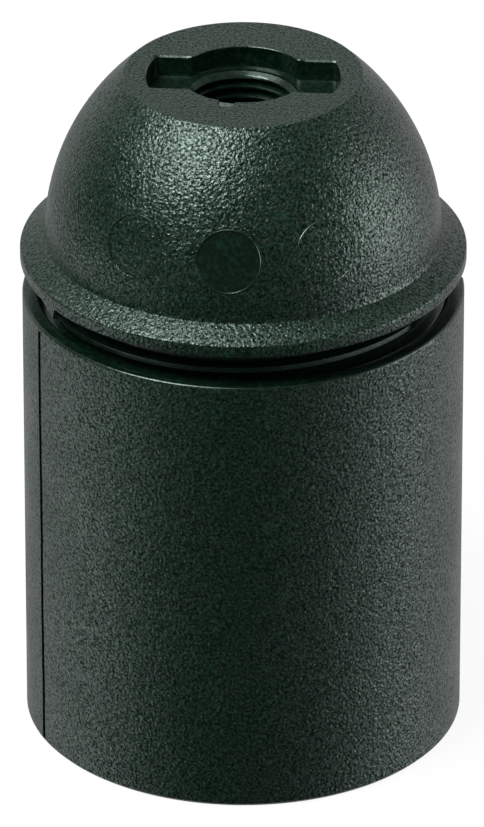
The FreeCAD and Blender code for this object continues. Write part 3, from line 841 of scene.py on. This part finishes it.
# %% Barrel sizes and its sloping rim
BORE_R, BORE_END = 18.6, 34.8
INNER_R = 18.2
SLEEVE_R, SEAT, RELIEF_R = 15.6, 31.0, 13.6
MOUTH_FLOOR, MOUTH_CHAMFER = 2.4, 0.36
THREAD_LOW, THREAD_HIGH, LAMP_PITCH = 4.5, 24.5, 3.629
RAMP_START, RAMP_END, RAMP_DROP, RIM_ROUND = 4.65, 215.9, 1.1736, 0.25
SEAM_ANGLE, SEAM_HALF, SEAM_DEPTH = 203.5, 0.75, 0.5
SEAM_PROUD = 0.02
BARREL_RIDGE_END, BARREL_RIDGE_Z, BARREL_RIDGE_TURNS = 165.0, RIM - 0.65, 2.5
# where the rim steps down, the ridge's top turn is broken for this long below it, in mm, and it
# grows back within this many degrees
BREAK_LONG, BREAK_WIDE = 2.5, 1.5
# the lamp thread: its arcs' radius, how far out the hollow and raised ones centre, its flat crest
LAMP_ARC_R, LAMP_HOLLOW_R, LAMP_RAISED_R, LAMP_CREST_R = 1.025, 12.275, 13.225, 12.25


def rim(angle):
    """The rim's height at this angle."""
    if RAMP_START <= angle <= RAMP_END:
        return RIM - RAMP_DROP + CAP_PITCH * (angle - RAMP_START) / 360
    return RIM


def seam_drift(z):
    """How far the parting line wanders to one side at this height, in degrees."""
    return 0.1 * math.sin(z / 3.1) + 0.05 * math.sin(z / 0.83 + 1) + 0.0125 * (RIM - z)


def outer_ring(bm, height, depth):
    """A ring of the outer wall at height(angle), with the parting line cut this deep."""
    points = []
    for angle in barrel_angles:
        z = height(angle)
        drift = seam_drift(z) if abs(angle - SEAM_ANGLE) <= SEAM_HALF + 0.01 else 0
        proud = SEAM_PROUD * smooth_step((angle - 200) / 4) if angle < SEAM_ANGLE else 0
        cut = depth if abs(angle - SEAM_ANGLE) < SEAM_HALF - 0.01 else 0
        points.append((BARREL_R + proud - cut, angle + drift, z))
    return ring(bm, points)


def barrel_ridge(angle, z):
    """The bore's wall with its ridge, whose top turn is broken where the rim steps down."""
    share = ridge_share(angle, z, BARREL_RIDGE_END, BARREL_RIDGE_Z, BARREL_RIDGE_TURNS)
    if z > RIM - BREAK_LONG:
        share *= smooth_step((abs(angle - RAMP_START) - 0.02) / BREAK_WIDE)
    return BORE_R - RIDGE_DEPTH * share


def lamp_wall(angle, z):
    """The sleeve's wall: arcs that follow the lamp's rounded thread, open at both ends."""
    climb = (z - THREAD_LOW) / LAMP_PITCH + 0.5 - angle / 360
    aside = abs(climb - round(climb)) * LAMP_PITCH
    if aside <= LAMP_PITCH / 4:
        thread = LAMP_HOLLOW_R + math.sqrt(LAMP_ARC_R**2 - aside**2)
    else:
        thread = LAMP_RAISED_R - math.sqrt(LAMP_ARC_R**2 - (LAMP_PITCH / 2 - aside) ** 2)
    return max(thread, LAMP_CREST_R, RELIEF_R - (z - THREAD_LOW), RELIEF_R - (THREAD_HIGH - z))


slit = [SEAM_ANGLE + side * (SEAM_HALF - inset) for side in (-1, 1) for inset in (0, 0.02)]
barrel_angles = angles_with(1.0, slit + [RAMP_START - 0.01, RAMP_START, RAMP_END, 163.5, 164.2, 164.6])
print("rim's lowest point in mm:", round(rim(RAMP_START), 2), "points round:", len(barrel_angles))

# %% Outer wall and rim
SEAM_STOP = 0.5
bm = bmesh.new()
mouth = rounded([(BARREL_R - 0.9, 0, 0), (BARREL_R - MOUTH_CHAMFER, 0, 0.15), (BARREL_R, MOUTH_CHAMFER, 0)])
walls = [even_ring(bm, barrel_angles, spot) for spot in mouth[:-1]]
walls += [outer_ring(bm, lambda angle: z, 0) for z in (MOUTH_CHAMFER, SEAM_STOP - 0.02)]
walls += [outer_ring(bm, lambda angle: z, SEAM_DEPTH) for z in [SEAM_STOP] + span(1.4, 40.6, 0.8)]
for below, depth in ((SEAM_STOP, SEAM_DEPTH), (SEAM_STOP - 0.02, 0), (RIM_ROUND, 0)):
    walls.append(outer_ring(bm, lambda angle: rim(angle) - below, depth))
corner = [math.radians(turn) for turn in (22.5, 45, 67.5, 90)]
corner = [(RIM_ROUND * (1 - math.cos(turn)), RIM_ROUND * (1 - math.sin(turn))) for turn in corner]
for inwards, below in corner:
    walls.append(ring(bm, [(BARREL_R - inwards, angle, rim(angle) - below) for angle in barrel_angles]))
for outwards, below in corner[::-1] + [(0, RIM_ROUND)]:
    spots = []
    for angle in barrel_angles:
        wall = barrel_ridge(angle, rim(angle) - RIM_ROUND)
        spots.append((wall + outwards, angle, rim(angle) - below))
    walls.append(ring(bm, spots))
join_all(bm, walls)
print("outer wall:", len(bm.faces), "faces")

# %% Bore, sleeve and lamp thread
threaded_band(
    bm,
    barrel_angles,
    lambda angle: BORE_END,
    lambda angle: rim(angle) - RIM_ROUND,
    CAP_PITCH,
    BARREL_RIDGE_Z - CAP_PITCH * BARREL_RIDGE_END / 360,
    RIDGE_ROWS,
    barrel_ridge,
)
space = [(BORE_R, BORE_END, 0), (INNER_R, BORE_END - 0.4, 0.2)]
space += [(INNER_R, MOUTH_FLOOR, 0.4), (16.8, MOUTH_FLOOR, 0)]
space = [even_ring(bm, barrel_angles, spot) for spot in rounded(space)]
join_all(bm, space)
sleeve = [(16.4, MOUTH_FLOOR, 0), (SLEEVE_R, MOUTH_FLOOR, 0.4), (SLEEVE_R, SEAT, EDGE)]
sleeve += [(RELIEF_R, SEAT, EDGE), (RELIEF_R, THREAD_HIGH, 0)]
sleeve = [even_ring(bm, coarse_angles, spot) for spot in rounded(sleeve)]
join_all(bm, sleeve)
join_flat(bm, sleeve[0], coarse_angles, space[-1], barrel_angles)
lamp_rows = span(0, LAMP_PITCH * 15 / 16, LAMP_PITCH / 16)
threaded_band(
    bm, coarse_angles, lambda a: THREAD_LOW, lambda a: THREAD_HIGH, LAMP_PITCH, 0.0, lamp_rows, lamp_wall
)
flare = [(RELIEF_R, THREAD_LOW, 0), (RELIEF_R, 3.2, 0.3), (RELIEF_R + 1.3, 0, 0.3), (RELIEF_R + 2.3, 0, 0)]
flare = [even_ring(bm, coarse_angles, spot) for spot in rounded(flare)]
join_all(bm, flare)
join_flat(bm, flare[-1], coarse_angles, walls[0], barrel_angles)
tidy_mesh(bm)
barrel_mesh = as_mesh(bm, "barrel_shell")
print("barrel walls:", len(barrel_mesh.polygons), "faces")

# %% [markdown]
# ## Webs and keyways
# Four webs tie the sleeve to the outer wall, and two slots in the sleeve's end take the keys of
# the terminal block, so that it can't turn. Straight blocks are the plain way to describe both:
# the webs are joined to the walls and the slots are cut out of them with Boolean modifiers.


# %% Join the webs and cut the keyways
def blocks(name, angles, low, high):
    """A tool mesh: the same block, from one corner to the other in mm, at each of these angles."""
    bm = bmesh.new()
    for angle in angles:
        made = bmesh.ops.create_cube(bm, size=1.0)["verts"]
        centre, size = (Vector(low) + Vector(high)) / 2 * MM, (Vector(high) - Vector(low)) * MM
        turned = Matrix.Rotation(math.radians(angle), 4, "Z") @ Matrix.Translation(centre)
        bmesh.ops.transform(bm, matrix=turned @ Matrix.Diagonal((*size, 1)), verts=made)
    tool = bpy.data.objects.new(name, as_mesh(bm, name))
    bpy.context.scene.collection.objects.link(tool)
    return tool


KEY_ANGLE, WEB_HALF, KEYWAY_HALF, KEYWAY_END, SINK = -15.0, 0.7, 2.8, 17.75, 0.1
web_low = (SLEEVE_R - SINK, -WEB_HALF, MOUTH_FLOOR - SINK)
web_high = (INNER_R + SINK, WEB_HALF, SEAT - 0.02)
webs = blocks("webs", [KEY_ANGLE + 45 + 90 * n for n in range(4)], web_low, web_high)
keyway_high = (SLEEVE_R + SINK, KEYWAY_HALF, SEAT + SINK)
keyways = blocks("keyways", [KEY_ANGLE, KEY_ANGLE + 180], (11.2, -KEYWAY_HALF, KEYWAY_END), keyway_high)
work = bpy.data.objects.new("barrel_work", barrel_mesh)
bpy.context.scene.collection.objects.link(work)
for operation, tool in (("UNION", webs), ("DIFFERENCE", keyways)):
    step = work.modifiers.new(operation.lower(), "BOOLEAN")
    step.operation, step.solver, step.object = operation, "EXACT", tool
graph = bpy.context.evaluated_depsgraph_get()
carved = bpy.data.meshes.new_from_object(work.evaluated_get(graph), depsgraph=graph)
carved.name = "barrel_shell"
for tool in (work, webs, keyways):
    bpy.data.objects.remove(tool)
print("barrel with webs and keyways:", len(carved.polygons), "faces")


# %% Finish the barrel
def from_barrel_core(radius, z):
    """Whether a face at this radius lies anywhere but on the outer wall."""
    return radius < BARREL_R - 0.02


finish_piece(carved, "barrel_shell", barrel_finish, "barrel", "barrel", from_barrel_core)

# %% [markdown]
# ## Camera
# A real photograph of a small product is taken from far off with a long lens, which keeps the
# barrel's sides nearly parallel. The camera stands 0.91 m away, 28 degrees above the table.

# %% Camera
ELEVATION = math.radians(28.14)
DISTANCE = 912.3
AIM = Vector((-0.12, 0.0, 29.83))
FOCAL_PIXELS, LONG_SIDE_PIXELS, SENSOR = 10014, 827, 36.0
back = Vector((0.0, -math.cos(ELEVATION), math.sin(ELEVATION)))
camera_data = bpy.data.cameras.new("long_lens")
camera_data.sensor_width = SENSOR
camera_data.lens = FOCAL_PIXELS / LONG_SIDE_PIXELS * SENSOR
camera_data.clip_start, camera_data.clip_end = 0.05, 50.0
camera = bpy.data.objects.new("long_lens", camera_data)
bpy.context.scene.collection.objects.link(camera)
camera.location = (AIM + back * DISTANCE) * MM
camera.rotation_mode = "QUATERNION"
camera.rotation_quaternion = (-back).to_track_quat("-Z", "Y")
bpy.context.scene.camera = camera
print("lens in mm:", round(camera_data.lens, 1))

# %% [markdown]
# ## Floor
# The holder stands on white paper. For the camera most of the paper's brightness is its own, so
# it meets the white background without an edge, and the rest is lit, so it keeps a faint shadow.

# %% The camera's own white
def seen_directly(tree):
    """Is 1 where the camera sees a place, straight or through something clear, and 0 elsewhere."""
    path = add_node(tree, "ShaderNodeLightPath")
    rays = {0: (path, "Is Camera Ray"), 1: (path, "Is Transmission Ray")}
    return add_node(tree, "ShaderNodeMath", {"operation": "MAXIMUM"}, rays)


GLOW_SHARE = 0.93
print("share of the paper's brightness that is its own:", GLOW_SHARE)

# %% Floor
floor_finish = bpy.data.materials.new("white_paper")
floor_finish.use_nodes = True
tree = floor_finish.node_tree
tree.nodes.clear()
paper = add_node(tree, "ShaderNodeBsdfDiffuse", {"Color": linear("#f2f2f2"), "Roughness": 1.0})
glow = add_node(tree, "ShaderNodeEmission", {"Color": linear("#ffffff"), "Strength": 1.0})
own = {0: (seen_directly(tree), "Value")}
own = add_node(tree, "ShaderNodeMath", {"operation": "MULTIPLY", 1: GLOW_SHARE}, own)
both = {0: (own, "Value"), 1: (paper, "BSDF"), 2: (glow, "Emission")}
mix = add_node(tree, "ShaderNodeMixShader", links=both)
add_node(tree, "ShaderNodeOutputMaterial", links={"Surface": (mix, "Shader")})

FLOOR_R = 6.0
bm = bmesh.new()
bmesh.ops.create_circle(bm, cap_ends=True, radius=FLOOR_R, segments=96)
floor_mesh = as_mesh(bm, "paper_floor")
floor_mesh.materials.append(floor_finish)
floor = bpy.data.objects.new("paper_floor", floor_mesh)
bpy.context.scene.collection.objects.link(floor)
floor.visible_glossy = False
print("floor radius in m:", FLOOR_R)

# %% [markdown]
# ## Light
# The photograph was lit through white cloth from the upper left, with a narrow white panel at the
# right, white paper round the foot, and the dark room in front. Black plastic shows mostly what
# it reflects, so that room matters: the panel gives the bright stripe down the dome's right side,
# and the paper lights the barrel's two edges and leaves its front dark. So the world is white
# where the camera sees it, straight or through something clear, and elsewhere its brightness goes
# by left and right, once for the cloth and once for the paper below it. It grows towards the back
# and overhead. A large soft lamp at the upper left gives the highlight on the dome, and a weak
# one nearly overhead, a little behind and to the left, lifts the flat top.

# %% World
world = bpy.data.worlds.new("light_tent")
bpy.context.scene.world = world
world.use_nodes = True
tree = world.node_tree
tree.nodes.clear()
where = add_node(tree, "ShaderNodeTexCoord")
axes = add_node(tree, "ShaderNodeSeparateXYZ", links={"Vector": (where, "Generated")})
# places from -1 to 1 along X, from left to right, and how bright the cloth or the paper is there
CLOTH = (
    (-1.0, 0.05),
    (-0.7, 0.2),
    (-0.3, 0.08),
    (0.1, 0.06),
    (0.6, 0.22),
    (0.86, 0.3),
    (0.94, 1.6),
    (1.0, 6.0),
)
PAPER = (
    (-1.0, 2.0),
    (-0.86, 1.9),
    (-0.72, 0.45),
    (-0.45, 0.07),
    (0.1, 0.04),
    (0.6, 0.22),
    (0.84, 0.9),
    (1.0, 1.5),
)
# an axis, where a change starts and ends along it, and how much it comes to: the brightness that
# is added behind and overhead, and the turn from paper to cloth at the table's edge
BEHIND, OVERHEAD, ABOVE = ("Y", 0.2, 0.8, 0.45), ("Z", 0.75, 1.0, 0.3), ("Z", -0.42, -0.3, 1.0)
place = add_node(
    tree,
    "ShaderNodeMapRange",
    {"From Min": -1.0, "From Max": 1.0, "To Min": 0.0, "To Max": 1.0},
    {"Value": (axes, "X")},
)
graded = []
for stops in (CLOTH, PAPER):
    ramp = add_node(tree, "ShaderNodeValToRGB", links={"Fac": (place, "Result")})
    stages = ramp.color_ramp
    stages.interpolation = "EASE"
    while len(stages.elements) < len(stops):
        stages.elements.new(0.5)
    brightest = max(amount for spot, amount in stops)
    for element, (spot, amount) in zip(stages.elements, stops):
        element.position = (spot + 1) / 2
        element.color = (amount / brightest,) * 3 + (1.0,)
    graded.append(
        add_node(tree, "ShaderNodeMath", {"operation": "MULTIPLY", 1: brightest}, {0: (ramp, "Color")})
    )
soft = []
for axis, first, last, most in (BEHIND, OVERHEAD, ABOVE):
    settings = {"interpolation_type": "SMOOTHSTEP", "From Min": first, "From Max": last}
    settings.update({"To Min": 0.0, "To Max": most})
    soft.append(add_node(tree, "ShaderNodeMapRange", settings, {"Value": (axes, axis)}))
behind, overhead, above = soft
parts = {0: (graded[0], "Value"), 1: (overhead, "Result")}
cloth = add_node(tree, "ShaderNodeMath", {"operation": "ADD"}, parts)
parts = {0: (above, "Result"), 2: (graded[1], "Value"), 3: (cloth, "Value")}
room = add_node(tree, "ShaderNodeMix", {"data_type": "FLOAT"}, parts)
parts = {0: (room, "Result"), 1: (behind, "Result")}
room = add_node(tree, "ShaderNodeMath", {"operation": "ADD"}, parts)
tent = add_node(tree, "ShaderNodeBackground", {"Color": linear("#ffffff")}, {"Strength": (room, "Value")})
white = add_node(tree, "ShaderNodeBackground", {"Color": linear("#ffffff"), "Strength": 1.0})
both = {0: (seen_directly(tree), "Value"), 1: (tent, "Background"), 2: (white, "Background")}
mix = add_node(tree, "ShaderNodeMixShader", links=both)
add_node(tree, "ShaderNodeOutputWorld", links={"Surface": (mix, "Shader")})
print("stops of cloth and paper:", len(CLOTH), len(PAPER))


# %% Lamps
BOX_DISTANCE = 0.9


def soft_lamp(name, azimuth, elevation, size, watts):
    """A square soft box that faces the holder. Azimuth 0 is the camera's side, in degrees."""
    data = bpy.data.lights.new(name, "AREA")
    data.size = size
    data.energy = watts
    lamp = bpy.data.objects.new(name, data)
    turn, tilt = math.radians(azimuth), math.radians(elevation)
    way = Vector((math.sin(turn) * math.cos(tilt), -math.cos(turn) * math.cos(tilt), math.sin(tilt)))
    lamp.location = AIM * MM + way * BOX_DISTANCE
    lamp.rotation_mode = "QUATERNION"
    lamp.rotation_quaternion = (-way).to_track_quat("-Z", "Y")
    bpy.context.scene.collection.objects.link(lamp)
    print(name, "watts:", watts)


soft_lamp("key_box", -55, 55, 0.54, 11.5)
soft_lamp("top_box", -140, 74, 0.5, 2.0)
bpy.context.scene.view_settings.view_transform = "Standard"
